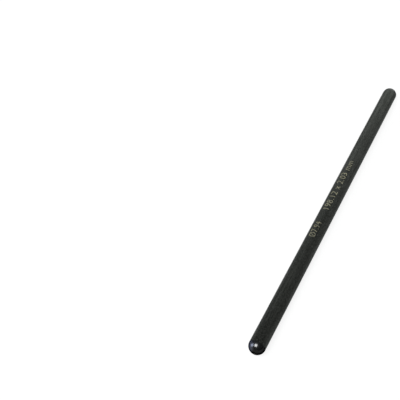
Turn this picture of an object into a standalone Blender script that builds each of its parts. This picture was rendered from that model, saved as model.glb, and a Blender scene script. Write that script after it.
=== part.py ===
"""One-piece engine pushrod, modelled in metres.

A seamless steel tube is closed in at both ends to a full-radius ball as wide as the tube itself, and an
oil hole runs through the pole of each ball into the bore. The rod lies along world X. The ball centre of
its lifter end is the world origin, and its rocker end points along +X.
"""

import math

import bpy

# Driving dimensions
GAUGE_LENGTH = 0.19812  # over the poles of both full balls, 7.800 in
ROD_DIAMETER = 0.0079375  # the tube and its ball ends, 5/16 in
WALL = 0.002032  # the drawn tube's wall, 0.080 in
OIL_HOLE_DIAMETER = 0.0015875  # through each pole, 1/16 in
OIL_HOLE_CHAMFER = 0.00015  # 45 degree break at each oil hole's mouth
CROWN_THICKNESS = 0.0025  # steel gathered behind each pole when the end is closed in
CLOSING_LENGTH = 0.0036  # stretch of bore that narrows from its full width to the crown

# How finely the round forms are divided
TURN_STEPS = 56
BALL_STEPS = 12
CROWN_STEPS = 7
WELD_DISTANCE = 0.00001
SHARP_EDGE_ANGLE = math.radians(30)

# Sizes that follow from the driving dimensions
BALL_RADIUS = ROD_DIAMETER / 2
BORE_RADIUS = BALL_RADIUS - WALL
OIL_HOLE_RADIUS = OIL_HOLE_DIAMETER / 2
BALL_SPACING = GAUGE_LENGTH - ROD_DIAMETER

PART_NAME = "pushrod"
STEEL_COLOUR = (0.024, 0.025, 0.023, 1.0)
STEEL_ROUGHNESS = 0.45
STEEL_METALLIC = 0.6


def clear_scene():
    """Remove every object, so that the script can be run again in the same file."""
    for old in list(bpy.data.objects):
        bpy.data.objects.remove(old, do_unlink=True)


def new_collection(name):
    """Add a collection to the scene and return it."""
    collection = bpy.data.collections.new(name)
    bpy.context.scene.collection.children.link(collection)
    return collection


def oxide_steel():
    """Black oxide steel: nearly black, satin, with the metal still showing through."""
    material = bpy.data.materials.new("oxide_steel")
    material.use_nodes = True
    shader = material.node_tree.nodes["Principled BSDF"]
    shader.inputs["Base Color"].default_value = STEEL_COLOUR
    shader.inputs["Roughness"].default_value = STEEL_ROUGHNESS
    shader.inputs["Metallic"].default_value = STEEL_METALLIC
    material.diffuse_color = STEEL_COLOUR
    return material


def arc(centre, radii, start, stop, steps):
    """Points of an elliptical arc in the (radius, reach) plane.

    The angles are measured from the direction of reach, so 0 is the pole and a quarter turn is the side.
    """
    width, reach = radii
    angles = [start + (stop - start) * i / steps for i in range(steps + 1)]
    return [(width * math.sin(a), centre + reach * math.cos(a)) for a in angles]


def end_section():
    """Outline of one end, from the ball's side over its pole and back inside to the full bore.

    Each point is (radius, reach), where reach is measured from the ball centre outwards along the axis.
    """
    mouth_radius = OIL_HOLE_RADIUS + OIL_HOLE_CHAMFER
    mouth_angle = math.asin(mouth_radius / BALL_RADIUS)
    ball = arc(0.0, (BALL_RADIUS, BALL_RADIUS), math.pi / 2, mouth_angle, BALL_STEPS)

    mouth_reach = ball[-1][1]
    chamfer_foot = (OIL_HOLE_RADIUS, mouth_reach - OIL_HOLE_CHAMFER)

    crown_reach = BALL_RADIUS - CROWN_THICKNESS
    crown_centre = crown_reach - CLOSING_LENGTH
    breakout_angle = math.asin(OIL_HOLE_RADIUS / BORE_RADIUS)
    crown = arc(crown_centre, (BORE_RADIUS, CLOSING_LENGTH), breakout_angle, math.pi / 2, CROWN_STEPS)

    return ball + [chamfer_foot] + crown


def rod_section():
    """Closed outline of the whole rod as (x, y, z) points, standing on its lifter end.

    It runs down the outside of the tube, round the lifter end, up the bore and round the rocker end.
    """
    lifter_end = [(radius, 0.0, -reach) for radius, reach in end_section()]
    rocker_end = [(radius, 0.0, BALL_SPACING + reach) for radius, reach in reversed(end_section())]
    return rocker_end + lifter_end


def turned_solid(name, outline, material, collection):
    """Turn a closed outline about Z into one solid, smooth except along its real edges."""
    profile = bpy.data.meshes.new(name + "_profile")
    count = len(outline)
    profile.from_pydata(outline, [(i, (i + 1) % count) for i in range(count)], [])
    solid = bpy.data.objects.new(name, profile)
    collection.objects.link(solid)

    turn = solid.modifiers.new("Turn", "SCREW")
    turn.axis = "Z"
    turn.angle = math.tau
    turn.steps = TURN_STEPS
    turn.render_steps = TURN_STEPS
    turn.use_merge_vertices = True
    turn.merge_threshold = WELD_DISTANCE

    turned = solid.evaluated_get(bpy.context.evaluated_depsgraph_get())
    mesh = bpy.data.meshes.new_from_object(turned)
    mesh.name = name
    solid.modifiers.clear()
    solid.data = mesh
    bpy.data.meshes.remove(profile)

    mesh.shade_smooth()
    mesh.set_sharp_from_angle(angle=SHARP_EDGE_ANGLE)
    mesh.materials.append(material)
    return solid


def build_pushrod():
    """Turn the rod about its own axis, then lay it down along world X."""
    collection = new_collection(PART_NAME)
    rod = turned_solid(PART_NAME, rod_section(), oxide_steel(), collection)
    rod.rotation_euler = (0.0, math.pi / 2, 0.0)
    return rod


clear_scene()
build_pushrod()
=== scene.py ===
"""A one-piece engine pushrod in black oxide, lying on a pale studio floor.

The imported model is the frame: its rod lies along X, the centre of the lifter-end ball is the origin, and
the floor touches the rod's underside. This script turns a finer rod in its place, dresses it, adds the size
figures etched on the tube, and sets up the studio and the camera.
"""

import logging
import math
from dataclasses import dataclass, field
from enum import Enum
from typing import Iterable, Optional

import bmesh
import bpy
from mathutils import Matrix, Vector


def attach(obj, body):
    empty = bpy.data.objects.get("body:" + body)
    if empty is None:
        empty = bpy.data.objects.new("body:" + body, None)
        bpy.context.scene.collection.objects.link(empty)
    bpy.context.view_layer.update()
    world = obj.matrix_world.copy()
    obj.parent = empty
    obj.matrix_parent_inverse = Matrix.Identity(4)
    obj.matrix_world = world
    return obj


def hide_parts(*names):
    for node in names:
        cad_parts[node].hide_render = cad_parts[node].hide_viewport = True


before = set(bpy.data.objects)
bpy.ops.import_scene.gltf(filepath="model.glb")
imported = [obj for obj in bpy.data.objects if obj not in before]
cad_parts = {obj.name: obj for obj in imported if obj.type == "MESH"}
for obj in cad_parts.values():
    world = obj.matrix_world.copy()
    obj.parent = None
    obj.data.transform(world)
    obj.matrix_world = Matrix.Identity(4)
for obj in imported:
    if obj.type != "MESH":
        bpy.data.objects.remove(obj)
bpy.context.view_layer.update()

LOG = logging.getLogger("pushrod")
BODY = "root"
CAD_NODE = "pushrod"
MERGE_DISTANCE = 1e-6
SHARP_ANGLE = math.radians(50)

Colour = tuple[float, float, float, float]
Point = tuple[float, float, float]
Range = tuple[float, float]
Node = bpy.types.Node
Socket = bpy.types.NodeSocket
NodeTree = bpy.types.NodeTree

WHITE: Colour = (1.0, 1.0, 1.0, 1.0)


class RodEnd(Enum):
    """The rod's two ends, with the direction along X in which each one points."""

    LIFTER = -1
    ROCKER = 1


class Region(Enum):
    """The rod's differently finished regions, numbered as its material slots."""

    TUBE = 0
    BALL = 1
    BORE = 2


class NodeSheet:
    """A node tree being wired, with short calls that add its nodes and join them."""

    def __init__(self, tree: NodeTree) -> None:
        """Empty the tree of a material, a world or a shader node group, to start on it."""
        self.tree = tree
        tree.nodes.clear()

    def add(self, kind: str, **settings: object) -> Node:
        """Add one node.

        Args:
            kind: The node's type, such as "ShaderNodeMath".
            **settings: The node's own properties, such as operation="ADD".

        Returns:
            The new node.
        """
        node = self.tree.nodes.new(kind)
        for name, value in settings.items():
            setattr(node, name, value)
        return node

    def feed(self, socket: Socket, value: object) -> None:
        """Join an output to a socket, or set the socket's own value.

        Args:
            socket: The input that takes the value.
            value: An output socket, a number, a vector or a colour.
        """
        if isinstance(value, Socket):
            self.tree.links.new(value, socket)
        else:
            socket.default_value = value

    def math(self, operation: str, first: object, second: object) -> Socket:
        """Add a Math node.

        Args:
            operation: The node's operation.
            first: Its first value, a number or an output.
            second: Its second value, a number or an output.

        Returns:
            The node's output.
        """
        node = self.add("ShaderNodeMath", operation=operation)
        self.feed(node.inputs[0], first)
        self.feed(node.inputs[1], second)
        return node.outputs[0]

    def span(
        self, value: object, low: object, high: object, to_low: object = 0.0, to_high: object = 1.0
    ) -> Socket:
        """Add a Map Range node, clamped, that takes low and high to two new values.

        Args:
            value: The value to map.
            low: The value that becomes to_low.
            high: The value that becomes to_high.
            to_low: What low becomes.
            to_high: What high becomes.

        Returns:
            The node's output.
        """
        node = self.add("ShaderNodeMapRange", clamp=True)
        for socket, given in zip(node.inputs[:5], (value, low, high, to_low, to_high)):
            self.feed(socket, given)
        return node.outputs["Result"]

    def weigh(self, first: object, second: object, share: object) -> Socket:
        """Mix two values.

        Args:
            first: The value where the share is 0.
            second: The value where the share is 1.
            share: How much of the second there is, from 0 to 1.

        Returns:
            The mixed value.
        """
        # A Mix node's two values are its sockets 2 and 3, and its two colours are 6 and 7.
        node = self.add("ShaderNodeMix", data_type="FLOAT")
        self.feed(node.inputs["Factor"], share)
        self.feed(node.inputs[2], first)
        self.feed(node.inputs[3], second)
        return node.outputs[0]

    def noise(self, vector: object, scale: object, detail: float = 2.0, roughness: float = 0.5) -> Socket:
        """Add a Noise Texture node.

        Args:
            vector: Where the noise is read.
            scale: Its scale, in cells a metre.
            detail: How many finer layers it has.
            roughness: How strong the finer layers are.

        Returns:
            The noise's value, from 0 to 1.
        """
        node = self.add("ShaderNodeTexNoise", noise_dimensions="3D")
        self.feed(node.inputs["Vector"], vector)
        self.feed(node.inputs["Scale"], scale)
        node.inputs["Detail"].default_value = detail
        node.inputs["Roughness"].default_value = roughness
        return node.outputs["Fac"]

    def stretch(self, vector: object, factors: Point) -> Socket:
        """Scale a position along each axis.

        Args:
            vector: The position.
            factors: The scale along X, Y and Z. A small one draws a pattern out along its axis.

        Returns:
            The scaled position.
        """
        node = self.add("ShaderNodeMapping", vector_type="POINT")
        self.feed(node.inputs["Vector"], vector)
        node.inputs["Scale"].default_value = factors
        return node.outputs["Vector"]

    def blend(self, mask: object, first: object, second: object) -> Socket:
        """Mix two colours.

        Args:
            mask: How much of the second shows, from 0 to 1.
            first: The colour where the mask is 0.
            second: The colour where the mask is 1.

        Returns:
            The mixed colour.
        """
        node = self.add("ShaderNodeMix", data_type="RGBA")
        self.feed(node.inputs["Factor"], mask)
        self.feed(node.inputs[6], first)
        self.feed(node.inputs[7], second)
        return node.outputs[2]

    def group(self, shared: NodeTree, **values: object) -> Node:
        """Place a shared node group.

        Args:
            shared: The group.
            **values: Its inputs by name, with underscores for spaces.

        Returns:
            The group's node.
        """
        node = self.add("ShaderNodeGroup", node_tree=shared)
        for name, value in values.items():
            self.feed(node.inputs[name.replace("_", " ")], value)
        return node

    def matt(self, colour: Colour) -> Socket:
        """Add a plain matt shader.

        Args:
            colour: Its colour.

        Returns:
            The shader's output.
        """
        node = self.add("ShaderNodeBsdfDiffuse")
        node.inputs["Color"].default_value = colour
        return node.outputs[0]

    def put_out(self, shader: Socket, kind: str = "ShaderNodeOutputMaterial") -> None:
        """Feed a shader to a new output node, of a material unless another kind is given."""
        self.feed(self.add(kind).inputs["Surface"], shader)


def new_material(name: str) -> tuple[bpy.types.Material, NodeSheet]:
    """Start a material.

    Args:
        name: The material's name.

    Returns:
        The material and the sheet of its empty node tree.
    """
    material = bpy.data.materials.new(name)
    material.use_nodes = True
    return material, NodeSheet(material.node_tree)


class SharedEffects:
    """The node groups that more than one finish uses, each built once.

    A stretch draws a noise out along the rod. A range is the part of a noise that becomes 0 to 1.
    """

    DRAWN_STRETCH: Point = (0.035, 1.0, 1.0)
    SCUFF_STRETCH: Point = (0.22, 1.0, 1.0)
    TONE_RANGE: Range = (0.38, 0.62)
    SMUDGE_RANGE: Range = (0.38, 0.68)
    SCUFF_RANGE: Range = (0.74, 0.82)

    def __init__(self) -> None:
        """Build every group."""
        self.grain = self._surface_grain()
        self.handling = self._handling()
        self.reach = self._end_reach()

    @staticmethod
    def _new_group(
        name: str, inputs: Iterable[tuple[str, str, Optional[float]]], outputs: Iterable[tuple[str, str]]
    ) -> tuple[NodeSheet, Node, Node]:
        """Start a shader node group.

        Args:
            name: The group's name.
            inputs: Each input's name, socket type and default, or None for no default.
            outputs: Each output's name and socket type.

        Returns:
            The group's sheet, its input node and its output node.
        """
        tree = bpy.data.node_groups.new(name, "ShaderNodeTree")
        for label, kind, default in inputs:
            socket = tree.interface.new_socket(name=label, in_out="INPUT", socket_type=kind)
            if default is not None:
                socket.default_value = default
        for label, kind in outputs:
            tree.interface.new_socket(name=label, in_out="OUTPUT", socket_type=kind)
        sheet = NodeSheet(tree)
        return sheet, sheet.add("NodeGroupInput"), sheet.add("NodeGroupOutput")

    def _surface_grain(self) -> NodeTree:
        """Build the grain of drawn and blackened steel: fine crystals over faint lengthwise draw lines.

        Returns:
            The group. Height is for a bump and Tone for colour and roughness, both from 0 to 1.
        """
        sheet, given, made = self._new_group(
            "surface_grain",
            [
                ("Vector", "NodeSocketVector", None),
                ("Grain Size", "NodeSocketFloat", 0.0003),
                ("Line Width", "NodeSocketFloat", 0.0006),
                ("Line Share", "NodeSocketFloat", 0.4),
            ],
            [("Height", "NodeSocketFloat"), ("Tone", "NodeSocketFloat")],
        )
        where = given.outputs["Vector"]
        crystal_scale = sheet.math("DIVIDE", 1.0, given.outputs["Grain Size"])
        crystals = sheet.noise(where, crystal_scale, detail=2.0, roughness=0.45)
        drawn = sheet.stretch(where, self.DRAWN_STRETCH)
        line_scale = sheet.math("DIVIDE", 1.0, given.outputs["Line Width"])
        lines = sheet.noise(drawn, line_scale, detail=3.0, roughness=0.55)
        height = sheet.weigh(crystals, lines, given.outputs["Line Share"])
        sheet.feed(made.inputs["Height"], height)
        sheet.feed(made.inputs["Tone"], sheet.span(height, *self.TONE_RANGE))
        return sheet.tree

    def _handling(self) -> NodeTree:
        """Build the faint marks of oil and handling: broad soft smudges and sparse short scuffs.

        Returns:
            The group. Smudge and Scuff are masks from 0 to 1.
        """
        sheet, given, made = self._new_group(
            "handling",
            [
                ("Vector", "NodeSocketVector", None),
                ("Smudge Size", "NodeSocketFloat", 0.012),
                ("Scuff Size", "NodeSocketFloat", 0.0009),
            ],
            [("Smudge", "NodeSocketFloat"), ("Scuff", "NodeSocketFloat")],
        )
        where = given.outputs["Vector"]
        smudge_scale = sheet.math("DIVIDE", 1.0, given.outputs["Smudge Size"])
        broad = sheet.noise(where, smudge_scale, detail=4.0, roughness=0.6)
        drawn = sheet.stretch(where, self.SCUFF_STRETCH)
        scuff_scale = sheet.math("DIVIDE", 1.0, given.outputs["Scuff Size"])
        fine = sheet.noise(drawn, scuff_scale, detail=1.0)
        sheet.feed(made.inputs["Smudge"], sheet.span(broad, *self.SMUDGE_RANGE))
        sheet.feed(made.inputs["Scuff"], sheet.span(fine, *self.SCUFF_RANGE))
        return sheet.tree

    def _end_reach(self) -> NodeTree:
        """Build the distance past the nearer ball's side, measured outwards along the rod.

        Returns:
            The group. Reach is in metres: 0 at a ball's side, above 0 on the ball and below 0 on the tube.
            Aside is how far the spot is to the rod's +Y side, in metres. Lifter goes from 1 at the lifter
            end to 0 at the rocker end.
        """
        sheet, given, made = self._new_group(
            "end_reach",
            [("Vector", "NodeSocketVector", None), ("Ball Spacing", "NodeSocketFloat", 0.19)],
            [("Reach", "NodeSocketFloat"), ("Aside", "NodeSocketFloat"), ("Lifter", "NodeSocketFloat")],
        )
        split = sheet.add("ShaderNodeSeparateXYZ")
        sheet.feed(split.inputs["Vector"], given.outputs["Vector"])
        lifter = sheet.math("MULTIPLY", split.outputs["X"], -1.0)
        rocker = sheet.math("SUBTRACT", split.outputs["X"], given.outputs["Ball Spacing"])
        sheet.feed(made.inputs["Reach"], sheet.math("MAXIMUM", lifter, rocker))
        sheet.feed(made.inputs["Aside"], split.outputs["Y"])
        nearness = sheet.span(split.outputs["X"], 0.0, given.outputs["Ball Spacing"], 1.0, 0.0)
        sheet.feed(made.inputs["Lifter"], nearness)
        return sheet.tree


@dataclass(frozen=True)
class SteelFinish:
    """What every finish of the rod has in common: one steel shader over grain and handling marks.

    The colour runs from deep to pale with the grain, and the roughness from low to high. The two smudge
    shares say how much the broad smudges count in each.
    """

    name: str
    deep: Colour
    pale: Colour
    metal: float
    metal_swing: float
    gloss: float
    edge_tint: Colour
    rough_low: float
    rough_high: float
    grain_size: float
    line_width: float
    line_share: float
    bump_strength: float
    bump_distance: float
    scuff_strength: float = 0.0
    bare_factor: float = 3.0
    smudge_in_colour: float = 0.2
    smudge_in_roughness: float = 0.4

    def build(self, effects: SharedEffects, ball_spacing: float) -> bpy.types.Material:
        """Make the material.

        Args:
            effects: The shared node groups.
            ball_spacing: The distance between the two ball centres, in metres.

        Returns:
            The new material.
        """
        material, sheet = new_material(self.name)
        where = sheet.add("ShaderNodeTexCoord").outputs["Object"]
        grain = sheet.group(
            effects.grain, Vector=where, Grain_Size=self.grain_size,
            Line_Width=self.line_width, Line_Share=self.line_share,
        )
        marks = sheet.group(effects.handling, Vector=where)
        reach = sheet.group(effects.reach, Vector=where, Ball_Spacing=ball_spacing)

        shader = sheet.add("ShaderNodeBsdfPrincipled")
        shader.inputs["Metallic"].default_value = self.metal
        if self.metal_swing > 0.0:
            more = self.metal + self.metal_swing
            less = self.metal - self.metal_swing
            sheet.feed(shader.inputs["Metallic"], sheet.span(grain.outputs["Tone"], 0.0, 1.0, more, less))
        shader.inputs["Specular IOR Level"].default_value = self.gloss
        shader.inputs["Specular Tint"].default_value = self.edge_tint
        self.colour(sheet, shader, grain, marks, reach)

        uneven = sheet.weigh(grain.outputs["Tone"], marks.outputs["Smudge"], self.smudge_in_roughness)
        rough = sheet.span(uneven, 0.0, 1.0, self.rough_low, self.rough_high)
        sheet.feed(shader.inputs["Roughness"], self.roughness(sheet, rough, reach))

        bump = sheet.add("ShaderNodeBump")
        bump.inputs["Strength"].default_value = self.bump_strength
        bump.inputs["Distance"].default_value = self.bump_distance
        sheet.feed(bump.inputs["Height"], grain.outputs["Height"])
        sheet.feed(shader.inputs["Normal"], bump.outputs["Normal"])

        sheet.put_out(shader.outputs["BSDF"])
        material.diffuse_color = self.deep
        return material

    def colour(self, sheet: NodeSheet, shader: Node, grain: Node, marks: Node, reach: Node) -> None:
        """Wire the base colour: the deep tone, lightened by the grain and by sparse scuffs.

        Args:
            sheet: The material's sheet.
            shader: Its Principled shader.
            grain: The placed surface_grain group.
            marks: The placed handling group.
            reach: The placed end_reach group. Not used here.
        """
        uneven = sheet.weigh(grain.outputs["Tone"], marks.outputs["Smudge"], self.smudge_in_colour)
        toned = sheet.blend(uneven, self.deep, self.pale)
        scuffed = sheet.math("MULTIPLY", marks.outputs["Scuff"], self.scuff_strength)
        bare = tuple(min(1.0, channel * self.bare_factor) for channel in self.pale[:3]) + (1.0,)
        sheet.feed(shader.inputs["Base Color"], sheet.blend(scuffed, toned, bare))

    def roughness(self, sheet: NodeSheet, polish: Socket, reach: Node) -> Socket:
        """Leave the roughness as it is. A finish that changes along the rod has its own."""
        return polish


@dataclass(frozen=True)
class TubeFinish(SteelFinish):
    """Matt graphite black oxide on the drawn tube."""

    name: str = "oxide_tube"
    deep: Colour = (0.0096, 0.0101, 0.0088, 1.0)
    pale: Colour = (0.0232, 0.0243, 0.0218, 1.0)
    metal: float = 0.54
    metal_swing: float = 0.25
    gloss: float = 0.68
    edge_tint: Colour = (0.38, 0.42, 0.39, 1.0)
    rough_low: float = 0.38
    rough_high: float = 0.58
    grain_size: float = 0.00055
    line_width: float = 0.0006
    line_share: float = 0.35
    bump_strength: float = 0.80
    bump_distance: float = 0.00005
    scuff_strength: float = 0.35


@dataclass(frozen=True)
class BallFinish(SteelFinish):
    """Polished black ball ends, darker round the pole as painted shade where the ball mirrors the floor.

    At the lifter end a blue tint on the +Y side is painted sheen, where the side lamp's reflection falls,
    and a darker -Y side is painted shade. Each begins at its from-distance and is full at its to-distance:
    aside for the sheen and the -Y shade, and outwards from the ball's centre for the pole's shade. Smudges
    thin the first two down to patch_least. Next to the tube, over the fade's width, the polish fades out.
    """

    name: str = "oxide_ball"
    deep: Colour = (0.0760, 0.0772, 0.0776, 1.0)
    pale: Colour = (0.0842, 0.0855, 0.0860, 1.0)
    metal: float = 1.0
    metal_swing: float = 0.0
    gloss: float = 0.0
    edge_tint: Colour = (0.08, 0.08, 0.08, 1.0)
    rough_low: float = 0.23
    rough_high: float = 0.30
    grain_size: float = 0.00022
    line_width: float = 0.0003
    line_share: float = 0.1
    bump_strength: float = 0.06
    bump_distance: float = 0.00001
    patch_least: float = 0.75
    # Painted sheen: a blue tint on the lifter ball's +Y side, where the side lamp's reflection falls.
    painted_blue_sheen: Colour = (0.0620, 0.0680, 0.0950, 1.0)
    painted_blue_sheen_from: float = 0.0004
    painted_blue_sheen_to: float = 0.0022
    # Painted shade: the lifter ball's -Y side is darker, which darkens its reflections there.
    oil: Colour = (0.0130, 0.0130, 0.0138, 1.0)
    side_shade_from: float = -0.0004
    side_shade_to: float = -0.0028
    # Painted shade: darker round the pole, where the ball mirrors the floor.
    scale: Colour = (0.0190, 0.0188, 0.0186, 1.0)
    pole_shade_from: float = 0.0021
    pole_shade_to: float = 0.0033
    fade: Colour = (0.0180, 0.0186, 0.0190, 1.0)
    fade_width: float = 0.0005
    fade_share: float = 0.7
    fade_rough: float = 0.45

    def colour(self, sheet: NodeSheet, shader: Node, grain: Node, marks: Node, reach: Node) -> None:
        """Wire the base colour: polished black, with painted shade at the pole and on the -Y side
        and a painted blue sheen on the +Y side.

        Args:
            sheet: The material's sheet.
            shader: Its Principled shader.
            grain: The placed surface_grain group.
            marks: The placed handling group.
            reach: The placed end_reach group.
        """
        toned = sheet.blend(grain.outputs["Tone"], self.deep, self.pale)
        lifter = reach.outputs["Lifter"]
        patchy = sheet.span(marks.outputs["Smudge"], 0.0, 1.0, self.patch_least, 1.0)
        # Painted blue sheen on the +Y side and painted shade on the -Y side, at the lifter end only.
        left = sheet.span(reach.outputs["Aside"], self.painted_blue_sheen_from, self.painted_blue_sheen_to)
        right = sheet.span(reach.outputs["Aside"], self.side_shade_from, self.side_shade_to)
        blue_sheen_mask = sheet.math("MULTIPLY", left, lifter)
        side_shade_mask = sheet.math("MULTIPLY", right, lifter)
        # Painted shade round the pole, kept off the +Y side where the blue sheen is painted.
        pole = sheet.span(reach.outputs["Reach"], self.pole_shade_from, self.pole_shade_to)
        outside_blue_sheen = sheet.math("SUBTRACT", 1.0, blue_sheen_mask)
        scaled = sheet.blend(sheet.math("MULTIPLY", pole, outside_blue_sheen), toned, self.scale)
        with_blue_sheen = sheet.blend(sheet.math("MULTIPLY", blue_sheen_mask, patchy), scaled, self.painted_blue_sheen)
        with_side_shade = sheet.blend(sheet.math("MULTIPLY", side_shade_mask, patchy), with_blue_sheen, self.oil)
        edge = sheet.span(reach.outputs["Reach"], 0.0, self.fade_width, self.fade_share, 0.0)
        sheet.feed(shader.inputs["Base Color"], sheet.blend(edge, with_side_shade, self.fade))

    def roughness(self, sheet: NodeSheet, polish: Socket, reach: Node) -> Socket:
        """Let the polish fade out next to the tube.

        Args:
            sheet: The material's sheet.
            polish: The roughness of the polished surface.
            reach: The placed end_reach group.

        Returns:
            The roughness to use.
        """
        duller = sheet.span(reach.outputs["Reach"], 0.0, self.fade_width, self.fade_rough, 0.0)
        return sheet.math("MAXIMUM", polish, duller)


@dataclass(frozen=True)
class BoreFinish(SteelFinish):
    """Dull, oily black inside the oil holes and the bore."""

    name: str = "oxide_bore"
    deep: Colour = (0.0060, 0.0060, 0.0062, 1.0)
    pale: Colour = (0.0110, 0.0108, 0.0104, 1.0)
    metal: float = 0.6
    metal_swing: float = 0.0
    gloss: float = 0.0
    edge_tint: Colour = (0.4, 0.4, 0.4, 1.0)
    rough_low: float = 0.35
    rough_high: float = 0.55
    grain_size: float = 0.00018
    line_width: float = 0.0003
    line_share: float = 0.6
    bump_strength: float = 0.5
    bump_distance: float = 0.00002


@dataclass(frozen=True)
class EtchedFinish:
    """Dull gold of the etched figures, uneven where the oxide wasn't quite burnt through."""

    name: str = "etched_figures"
    gold: Colour = (0.300, 0.280, 0.172, 1.0)
    grey: Colour = (0.125, 0.125, 0.105, 1.0)
    patch_size: float = 0.0011
    patch_range: Range = (0.38, 0.62)
    grain_share: float = 0.3
    grain_size: float = 0.00025
    line_width: float = 0.0005
    line_share: float = 0.3
    metal: float = 0.25
    gloss: float = 0.2
    rough_low: float = 0.6
    rough_high: float = 0.75

    def build(self, effects: SharedEffects) -> bpy.types.Material:
        """Make the material.

        Args:
            effects: The shared node groups.

        Returns:
            The new material.
        """
        material, sheet = new_material(self.name)
        where = sheet.add("ShaderNodeTexCoord").outputs["Object"]
        grain = sheet.group(
            effects.grain, Vector=where, Grain_Size=self.grain_size,
            Line_Width=self.line_width, Line_Share=self.line_share,
        )
        broad = sheet.noise(where, 1.0 / self.patch_size, detail=3.0, roughness=0.65)
        patches = sheet.span(broad, *self.patch_range)
        worn = sheet.weigh(patches, grain.outputs["Tone"], self.grain_share)
        rough = sheet.span(grain.outputs["Tone"], 0.0, 1.0, self.rough_low, self.rough_high)

        shader = sheet.add("ShaderNodeBsdfPrincipled")
        shader.inputs["Metallic"].default_value = self.metal
        shader.inputs["Specular IOR Level"].default_value = self.gloss
        sheet.feed(shader.inputs["Base Color"], sheet.blend(worn, self.grey, self.gold))
        sheet.feed(shader.inputs["Roughness"], rough)
        sheet.put_out(shader.outputs["BSDF"])
        material.diffuse_color = self.gold
        return material


def add_object(mesh: bpy.types.Mesh) -> bpy.types.Object:
    """Put a finished mesh in the scene as an object at the origin.

    Args:
        mesh: The mesh, whose name the object takes.

    Returns:
        The new object.
    """
    piece = bpy.data.objects.new(mesh.name, mesh)
    bpy.context.scene.collection.objects.link(piece)
    return piece


def add_sheet(name: str, width: float, length: float, place: Matrix) -> bpy.types.Object:
    """Put one flat rectangle in the studio.

    Args:
        name: The rectangle's name.
        width: Its size along X before it is placed, in metres.
        length: Its size along Y before it is placed, in metres.
        place: What moves it from the origin to its place.

    Returns:
        The new object.
    """
    flat = bmesh.new()
    bmesh.ops.create_grid(flat, x_segments=1, y_segments=1, size=0.5)
    bmesh.ops.scale(flat, verts=list(flat.verts), vec=(width, length, 1.0))
    bmesh.ops.transform(flat, matrix=place, verts=list(flat.verts))
    mesh = bpy.data.meshes.new(name)
    flat.to_mesh(mesh)
    flat.free()
    return add_object(mesh)


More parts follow.
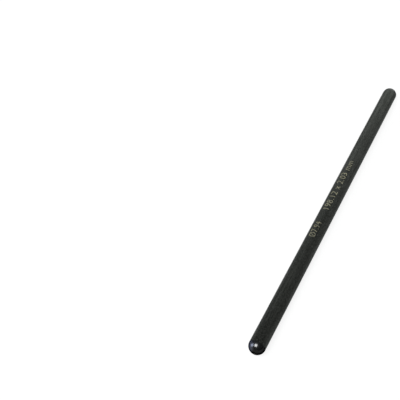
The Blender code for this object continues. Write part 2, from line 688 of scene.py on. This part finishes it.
@dataclass
class Pushrod:
    """The rod: a drawn tube closed in at both ends to full balls, with an oil hole through each pole.

    A face belongs to the inside where its middle lies deeper than skin_share of the ball's radius, or, past
    a ball's centre, nearer to the axis than mouth_share of the radius of the hole's mouth.
    """

    gauge_length: float = 0.19812
    rod_diameter: float = 0.0079375
    wall: float = 0.002032
    oil_hole_diameter: float = 0.0015875
    oil_hole_chamfer: float = 0.00015
    crown_thickness: float = 0.0025
    closing_length: float = 0.0036
    hole_edge_rounding: float = 0.00004
    turn_steps: int = 160
    ball_steps: int = 26
    crown_steps: int = 12
    tube_rings: int = 64
    bore_rings: int = 12
    hole_rings: int = 4
    skin_share: float = 0.985
    mouth_share: float = 0.97
    piece: Optional[bpy.types.Object] = field(default=None, init=False)

    @property
    def ball_radius(self) -> float:
        """Radius of the tube and of both balls."""
        return self.rod_diameter / 2

    @property
    def bore_radius(self) -> float:
        """Radius of the tube's bore."""
        return self.ball_radius - self.wall

    @property
    def hole_radius(self) -> float:
        """Radius of each oil hole."""
        return self.oil_hole_diameter / 2

    @property
    def mouth_radius(self) -> float:
        """Radius of each oil hole's mouth, where its chamfer meets the ball."""
        return self.hole_radius + self.oil_hole_chamfer

    @property
    def ball_spacing(self) -> float:
        """Distance between the two ball centres."""
        return self.gauge_length - self.rod_diameter

    def centre(self, end: RodEnd) -> Vector:
        """Centre of one ball."""
        return Vector((0.0 if end is RodEnd.LIFTER else self.ball_spacing, 0.0, 0.0))

    def build(self) -> bpy.types.Object:
        """Turn the rod's outline about its axis and join it to the frame.

        Returns:
            The rod's object, in place of its CAD node.
        """
        outline = bmesh.new()
        ends = [self._end_outline(outline, end) for end in RodEnd]
        (lifter_side, lifter_bore), (rocker_side, rocker_bore) = ends
        self._rule(outline, lifter_side, rocker_side, self.tube_rings)
        self._rule(outline, lifter_bore, rocker_bore, self.bore_rings)
        self._turn(outline)
        self._round_hole_edges(outline)
        self._mark_regions(outline)
        mesh = bpy.data.meshes.new("pushrod_turned")
        outline.to_mesh(mesh)
        outline.free()
        mesh.shade_smooth()
        mesh.set_sharp_from_angle(angle=SHARP_ANGLE)
        self.piece = add_object(mesh)
        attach(self.piece, BODY)
        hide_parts(CAD_NODE)
        return self.piece

    def _end_outline(self, outline: bmesh.types.BMesh, end: RodEnd) -> tuple[Vector, Vector]:
        """Draw half of one end's section, from the ball's side over its pole and back inside to the bore.

        Args:
            outline: The bmesh that holds the section, in the plane of X and Z.
            end: Which end it is.

        Returns:
            The points at the ball's side and where the full bore begins.
        """
        centre = self.centre(end)
        side = centre + Vector((0.0, 0.0, self.ball_radius))
        mouth_angle = math.asin(self.mouth_radius / self.ball_radius)
        mouth = self._sweep(outline, side, centre, end, math.pi / 2 - mouth_angle, self.ball_steps)
        foot = mouth + Vector((-end.value * self.oil_hole_chamfer, 0.0, -self.oil_hole_chamfer))
        self._rule(outline, mouth, foot)

        crown_reach = self.ball_radius - self.crown_thickness - self.closing_length
        crown_centre = centre + Vector((end.value * crown_reach, 0.0, 0.0))
        bore = crown_centre + Vector((0.0, 0.0, self.bore_radius))
        breakout_angle = math.asin(self.hole_radius / self.bore_radius)
        crown = bmesh.new()
        self._sweep(crown, bore, crown_centre, end, math.pi / 2 - breakout_angle, self.crown_steps)
        stretch = Matrix.Scale(self.closing_length / self.bore_radius, 4, Vector((1.0, 0.0, 0.0)))
        to_centre = Matrix.Translation(-crown_centre)
        bmesh.ops.transform(crown, matrix=stretch, space=to_centre, verts=list(crown.verts))
        breakout = min((vert.co for vert in crown.verts), key=lambda spot: spot.z).copy()
        drawn = bpy.data.meshes.new("crown_section")
        crown.to_mesh(drawn)
        crown.free()
        outline.from_mesh(drawn)
        bpy.data.meshes.remove(drawn)
        self._rule(outline, foot, breakout, self.hole_rings)
        return side, bore

    @staticmethod
    def _sweep(
        outline: bmesh.types.BMesh, start: Vector, centre: Vector, end: RodEnd, angle: float, steps: int
    ) -> Vector:
        """Sweep a new vertex round a centre, from the side towards the pole of one end.

        Args:
            outline: The bmesh that holds the section.
            start: Where the sweep starts.
            centre: The centre of the arc.
            end: Which end's pole it turns towards.
            angle: How far it turns, in radians.
            steps: How many edges it leaves.

        Returns:
            Where the sweep ends.
        """
        vert = outline.verts.new(start)
        swept = bmesh.ops.spin(
            outline, geom=[vert], cent=centre, axis=(0.0, end.value, 0.0), angle=angle, steps=steps,
            use_merge=False, use_duplicate=False,
        )
        return next(item.co.copy() for item in swept["geom_last"] if isinstance(item, bmesh.types.BMVert))

    @staticmethod
    def _rule(outline: bmesh.types.BMesh, start: Vector, stop: Vector, cuts: int = 0) -> None:
        """Join two points of the section by a straight line.

        Args:
            outline: The bmesh that holds the section.
            start: One end of the line.
            stop: The other end.
            cuts: How many vertices divide it.
        """
        edge = outline.edges.new((outline.verts.new(start), outline.verts.new(stop)))
        if cuts:
            bmesh.ops.subdivide_edges(outline, edges=[edge], cuts=cuts)

    def _turn(self, outline: bmesh.types.BMesh) -> None:
        """Spin the section a full turn about X, merge its doubles and point every face outwards.

        Args:
            outline: The bmesh that holds the closed section.
        """
        bmesh.ops.remove_doubles(outline, verts=list(outline.verts), dist=MERGE_DISTANCE)
        geometry = list(outline.verts) + list(outline.edges)
        bmesh.ops.spin(
            outline, geom=geometry, cent=(0.0, 0.0, 0.0), axis=(1.0, 0.0, 0.0), angle=math.tau,
            steps=self.turn_steps, use_merge=True, use_duplicate=False,
        )
        bmesh.ops.remove_doubles(outline, verts=list(outline.verts), dist=MERGE_DISTANCE)
        bmesh.ops.recalc_face_normals(outline, faces=list(outline.faces))

    def _round_hole_edges(self, outline: bmesh.types.BMesh) -> None:
        """Round both rings of each oil hole's chamfer, as tumbling leaves them.

        Args:
            outline: The bmesh of the turned rod.
        """
        pole_reach = math.sqrt(self.ball_radius ** 2 - self.mouth_radius ** 2)
        rings = [(self.mouth_radius, pole_reach), (self.hole_radius, pole_reach - self.oil_hole_chamfer)]
        picked = []
        for edge in outline.edges:
            spots = [self._radius_and_reach(vert.co) for vert in edge.verts]
            for radius, reach in rings:
                if all(math.dist(spot, (radius, reach)) < MERGE_DISTANCE for spot in spots):
                    picked.append(edge)
        bmesh.ops.bevel(
            outline, geom=picked, offset=self.hole_edge_rounding, offset_type="OFFSET", segments=3,
            profile=0.5, affect="EDGES", clamp_overlap=True, material=-1,
        )

    def _radius_and_reach(self, spot: Vector) -> tuple[float, float]:
        """Distance from the rod's axis, and distance outwards from the nearer ball's centre."""
        return math.hypot(spot.y, spot.z), max(-spot.x, spot.x - self.ball_spacing)

    def _mark_regions(self, outline: bmesh.types.BMesh) -> None:
        """Give each face the material slot of its region.

        Args:
            outline: The bmesh of the turned rod.
        """
        skin = self.ball_radius * self.skin_share
        mouth = self.mouth_radius * self.mouth_share
        for face in outline.faces:
            radius, reach = self._radius_and_reach(face.calc_center_median())
            from_centre = math.hypot(radius, max(reach, 0.0))
            if from_centre < skin or (reach > 0.0 and radius < mouth):
                region = Region.BORE
            elif reach > 0.0:
                region = Region.BALL
            else:
                region = Region.TUBE
            face.material_index = region.value

    def dress(self, effects: SharedEffects) -> None:
        """Give each region its finish, in the order of Region."""
        for finish in (TubeFinish(), BallFinish(), BoreFinish()):
            self.piece.data.materials.append(finish.build(effects, self.ball_spacing))


@dataclass
class SizeFigures:
    """Plain size figures in millimetres, etched along the tube: its diameter, then its length and wall.

    Each group has its text, where it starts along the rod and how far it runs, in metres.
    """

    tube_radius: float
    groups: tuple[tuple[str, float, float], ...] = (
        ("\u00d87.94", 0.0652, 0.0104),
        ("198.12 x 2.03 mm", 0.0853, 0.0379),
    )
    figure_height: float = 0.0032
    baseline_angle: float = math.radians(-9.0)
    stand_off: float = 0.000007
    depth: float = 0.00004
    strip_width: float = 0.0002
    drawn_size: float = 0.01
    drawn_steps: int = 4
    drawn_spacing: float = 1.05
    drawn_thinning: float = 0.00012
    drawn_merge: float = 1e-7
    cut_tolerance: float = 1e-8
    pieces: list[bpy.types.Object] = field(default_factory=list, init=False)

    def build(self) -> list[bpy.types.Object]:
        """Make every group of figures and join it to the frame.

        Returns:
            The groups' objects.
        """
        digit = self._flat_figures("digit", "8")
        digit_height = max(vert.co.y for vert in digit.vertices) - min(vert.co.y for vert in digit.vertices)
        bpy.data.meshes.remove(digit)
        for number, (text, start, length) in enumerate(self.groups, start=1):
            mesh = self._flat_figures(f"size_figures_{number}", text)
            self._fit(mesh, length, self.figure_height / digit_height)
            self._wrap(mesh, start)
            piece = add_object(mesh)
            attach(piece, BODY)
            self.pieces.append(piece)
        return self.pieces

    def _flat_figures(self, name: str, text: str) -> bpy.types.Mesh:
        """Set figures in the plain built-in letter and make them a flat mesh.

        Args:
            name: The mesh's name.
            text: The figures.

        Returns:
            The mesh, flat in the plane of X and Y.
        """
        curve = bpy.data.curves.new(name, "FONT")
        curve.body = text
        curve.size = self.drawn_size
        curve.resolution_u = self.drawn_steps
        curve.space_character = self.drawn_spacing
        curve.offset = -self.drawn_thinning
        setting = bpy.data.objects.new(name + "_setting", curve)
        bpy.context.scene.collection.objects.link(setting)
        bpy.context.view_layer.update()
        mesh = bpy.data.meshes.new_from_object(setting.evaluated_get(bpy.context.evaluated_depsgraph_get()))
        mesh.name = name
        bpy.data.objects.remove(setting, do_unlink=True)
        bpy.data.curves.remove(curve)
        mesh.materials.clear()
        return mesh

    def _fit(self, mesh: bpy.types.Mesh, length: float, upright: float) -> None:
        """Scale the flat figures, cut them in narrow strips for bending, and give them their depth.

        Args:
            mesh: The flat figures, on a baseline at Y = 0.
            length: How far they run along the rod, in metres.
            upright: The scale that brings a digit to its height.
        """
        flat = bmesh.new()
        flat.from_mesh(mesh)
        bmesh.ops.remove_doubles(flat, verts=list(flat.verts), dist=self.drawn_merge)
        left = min(vert.co.x for vert in flat.verts)
        right = max(vert.co.x for vert in flat.verts)
        bmesh.ops.translate(flat, verts=list(flat.verts), vec=(-left, 0.0, 0.0))
        bmesh.ops.scale(flat, verts=list(flat.verts), vec=(length / (right - left), upright, 1.0))
        lowest = min(vert.co.y for vert in flat.verts)
        highest = max(vert.co.y for vert in flat.verts)
        cuts = int((highest - lowest) / self.strip_width)
        for step in range(1, cuts + 1):
            bmesh.ops.bisect_plane(
                flat, geom=list(flat.verts) + list(flat.edges) + list(flat.faces), dist=self.cut_tolerance,
                plane_co=(0.0, lowest + step * self.strip_width, 0.0), plane_no=(0.0, 1.0, 0.0),
            )
        bmesh.ops.dissolve_degenerate(flat, edges=list(flat.edges), dist=MERGE_DISTANCE)
        bmesh.ops.remove_doubles(flat, verts=list(flat.verts), dist=MERGE_DISTANCE)
        bmesh.ops.solidify(flat, geom=list(flat.faces), thickness=self.depth)
        bmesh.ops.recalc_face_normals(flat, faces=list(flat.faces))
        flat.to_mesh(mesh)
        flat.free()

    def _wrap(self, mesh: bpy.types.Mesh, start: float) -> None:
        """Bend the flat figures round the tube.

        Args:
            mesh: The flat figures, which read along X with their tops towards Y.
            start: Where they start along the rod, in metres.
        """
        top = max(vertex.co.z for vertex in mesh.vertices)
        for vertex in mesh.vertices:
            radius = self.tube_radius + self.stand_off + vertex.co.z - top
            angle = self.baseline_angle + vertex.co.y / self.tube_radius
            vertex.co = Vector((start + vertex.co.x, radius * math.sin(angle), radius * math.cos(angle)))
        mesh.update()
        mesh.shade_smooth()
        mesh.set_sharp_from_angle(angle=SHARP_ANGLE)

    def dress(self, effects: SharedEffects) -> None:
        """Give every group the etched finish.

        Args:
            effects: The shared node groups.
        """
        material = EtchedFinish().build(effects)
        for piece in self.pieces:
            piece.data.materials.append(material)


@dataclass(frozen=True)
class Softbox:
    """One soft rectangular lamp, given by the radiance of its face and its place from what it lights."""

    name: str
    aim: Point
    direction: Point
    distance: float
    width: float
    height: float
    radiance: float
    colour: Point = (1.0, 1.0, 1.0)

    def build(self) -> bpy.types.Object:
        """Add the lamp, facing what it lights.

        Returns:
            The lamp's object.
        """
        data = bpy.data.lights.new(self.name, "AREA")
        data.shape = "RECTANGLE"
        data.size = self.width
        data.size_y = self.height
        data.energy = self.radiance * math.pi * self.width * self.height
        data.color = self.colour
        lamp = bpy.data.objects.new(self.name, data)
        outwards = Vector(self.direction).normalized()
        lamp.location = Vector(self.aim) + outwards * self.distance
        lamp.rotation_euler = outwards.to_track_quat("Z", "Y").to_euler()
        bpy.context.scene.collection.objects.link(lamp)
        return lamp


@dataclass(frozen=True)
class DarkCard:
    """A black card that stands on the floor behind the camera. Only reflections see it.

    Its heading is its direction from the lifter end's ball, round Z from +X.
    """

    name: str = "studio_card"
    heading: float = math.radians(-112.0)
    distance: float = 1.2
    width: float = 2.3
    height: float = 0.44
    colour: Colour = (0.02, 0.02, 0.02, 1.0)

    def build(self, floor_height: float) -> bpy.types.Object:
        """Stand the card on the floor, facing the lifter end's ball.

        Args:
            floor_height: The height of the floor, in metres.

        Returns:
            The card.
        """
        upright = Matrix.Rotation(math.pi / 2, 4, "Y")
        away = Matrix.Translation((self.distance, 0.0, floor_height + self.height / 2))
        turned = Matrix.Rotation(self.heading, 4, "Z")
        card = add_sheet(self.name, self.height, self.width, turned @ away @ upright)
        material, sheet = new_material(self.name)
        sheet.put_out(sheet.matt(self.colour))
        card.data.materials.append(material)
        card.visible_camera = False
        card.visible_diffuse = False
        card.visible_shadow = False
        return card


@dataclass
class Studio:
    """The pale floor, the soft lamps, the dark card and the plain surroundings.

    The floor shows white from white_from on, and keeps all of its shadow up to shadow_reach. The
    surroundings go from the horizon's strength to the surround's over the horizon's band, which is given by
    the height of a direction of length 1.
    """

    floor_height: float
    floor_size: float = 8.0
    floor_colour: Colour = (0.8, 0.8, 0.8, 1.0)
    shown_shadow: float = 0.15
    shadow_reach: float = 0.35
    white_from: float = 1.4
    surround: float = 0.16
    horizon: float = 1.0
    horizon_band: Range = (0.03, 0.21)
    side_lift: float = 0.25
    card: DarkCard = DarkCard()
    lamps: tuple[Softbox, ...] = (
        Softbox(
            name="key_softbox", aim=(0.0, 0.0, 0.0), direction=(-0.459, 0.185, 0.860), distance=1.0,
            width=0.51, height=0.51, radiance=11.7,
        ),
        Softbox(
            name="side_softbox", aim=(0.0, 0.0, 0.0), direction=(-0.420, 0.843, 0.337), distance=0.6,
            width=0.29, height=0.37, radiance=4.9, colour=(0.88, 0.93, 1.0),
        ),
        Softbox(
            name="back_softbox", aim=(0.19, 0.0, 0.0), direction=(0.85, 0.08, 0.44), distance=0.6,
            width=1.10, height=0.28, radiance=4.1, colour=(0.98, 1.0, 0.98),
        ),
    )

    def build(self) -> None:
        """Lay the floor, stand the card, hang the lamps and set the world and the colour view."""
        self._floor()
        self.card.build(self.floor_height)
        self._world()
        for lamp in self.lamps:
            lamp.build()
        bpy.context.scene.view_settings.view_transform = "Standard"

    def _floor(self) -> bpy.types.Object:
        """Lay one large flat floor under the rod.

        Returns:
            The floor.
        """
        under_rod = Matrix.Translation((0.0, 0.0, self.floor_height))
        floor = add_sheet("studio_floor", self.floor_size, self.floor_size, under_rod)
        floor.data.materials.append(self._floor_material())
        return floor

    def _floor_material(self) -> bpy.types.Material:
        """Make the floor's finish: pale paper that shows white where it is seen, and keeps a soft shadow.

        Returns:
            The new material.
        """
        material, sheet = new_material("studio_floor")
        paper = sheet.matt(self.floor_colour)
        shaded = sheet.matt((self.shown_shadow,) * 3 + (1.0,))
        away = sheet.add("ShaderNodeVectorMath", operation="LENGTH")
        sheet.feed(away.inputs[0], sheet.add("ShaderNodeTexCoord").outputs["Object"])
        distance = away.outputs["Value"]
        strength = sheet.span(distance, self.shadow_reach, self.white_from, 1.0 - self.shown_shadow, 1.0)
        glow = sheet.add("ShaderNodeEmission")
        glow.inputs["Color"].default_value = WHITE
        sheet.feed(glow.inputs["Strength"], strength)
        white = sheet.add("ShaderNodeAddShader")
        sheet.feed(white.inputs[0], shaded)
        sheet.feed(white.inputs[1], glow.outputs[0])
        path = sheet.add("ShaderNodeLightPath")
        seen = sheet.math("MAXIMUM", path.outputs["Is Camera Ray"], path.outputs["Is Glossy Ray"])
        seen = sheet.math("MAXIMUM", seen, path.outputs["Is Transmission Ray"])
        chosen = sheet.add("ShaderNodeMixShader")
        sheet.feed(chosen.inputs["Fac"], seen)
        sheet.feed(chosen.inputs[1], paper)
        sheet.feed(chosen.inputs[2], white.outputs[0])
        sheet.put_out(chosen.outputs[0])
        return material

    def _world(self) -> None:
        """Surround the scene with a plain backdrop, pale at the horizon and dimmer overhead.

        On the -Y side it stays pale a little higher up, as if a white wall stood there.
        """
        world = bpy.data.worlds.new("studio_surround")
        world.use_nodes = True
        sheet = NodeSheet(world.node_tree)
        split = sheet.add("ShaderNodeSeparateXYZ")
        sheet.feed(split.inputs["Vector"], sheet.add("ShaderNodeTexCoord").outputs["Generated"])
        aside = sheet.math("MAXIMUM", sheet.math("MULTIPLY", split.outputs["Y"], -self.side_lift), 0.0)
        height = sheet.math("SUBTRACT", split.outputs["Z"], aside)
        light = sheet.add("ShaderNodeBackground")
        light.inputs["Color"].default_value = WHITE
        strength = sheet.span(height, *self.horizon_band, self.horizon, self.surround)
        sheet.feed(light.inputs["Strength"], strength)
        sheet.put_out(light.outputs[0], "ShaderNodeOutputWorld")
        bpy.context.scene.world = world


@dataclass
class PhotoCamera:
    """The camera at the photograph's viewing angle: its place, its heading and how far it looks down."""

    location: Point = (-0.1446, -0.0474, 0.2724)
    heading: float = math.radians(27.7)
    look_down: float = math.radians(49.2)
    focal_pixels: float = 690.0
    image_pixels: int = 400
    sensor: float = 36.0
    nearest: float = 0.01
    farthest: float = 50.0

    def build(self) -> bpy.types.Object:
        """Add the camera and make it the scene's.

        Returns:
            The camera's object.
        """
        data = bpy.data.cameras.new("photo_camera")
        data.sensor_width = self.sensor
        data.lens = self.focal_pixels / self.image_pixels * self.sensor
        data.clip_start = self.nearest
        data.clip_end = self.farthest
        camera = bpy.data.objects.new("photo_camera", data)
        camera.location = self.location
        camera.rotation_euler = (math.pi / 2 - self.look_down, 0.0, self.heading - math.pi / 2)
        bpy.context.scene.collection.objects.link(camera)
        bpy.context.scene.camera = camera
        return camera


def report(piece: bpy.types.Object) -> None:
    """Log one piece's name and how many faces it has."""
    LOG.info("%s: %d faces", piece.name, len(piece.data.polygons))


def main() -> None:
    """Build and dress every part of the scene, in order."""
    logging.basicConfig(level=logging.INFO, format="%(name)s: %(message)s")
    effects = SharedEffects()

    rod = Pushrod()
    report(rod.build())
    rod.dress(effects)

    figures = SizeFigures(tube_radius=rod.ball_radius)
    for piece in figures.build():
        report(piece)
    figures.dress(effects)

    Studio(floor_height=-rod.ball_radius).build()
    PhotoCamera().build()


if __name__ == "__main__":
    main()
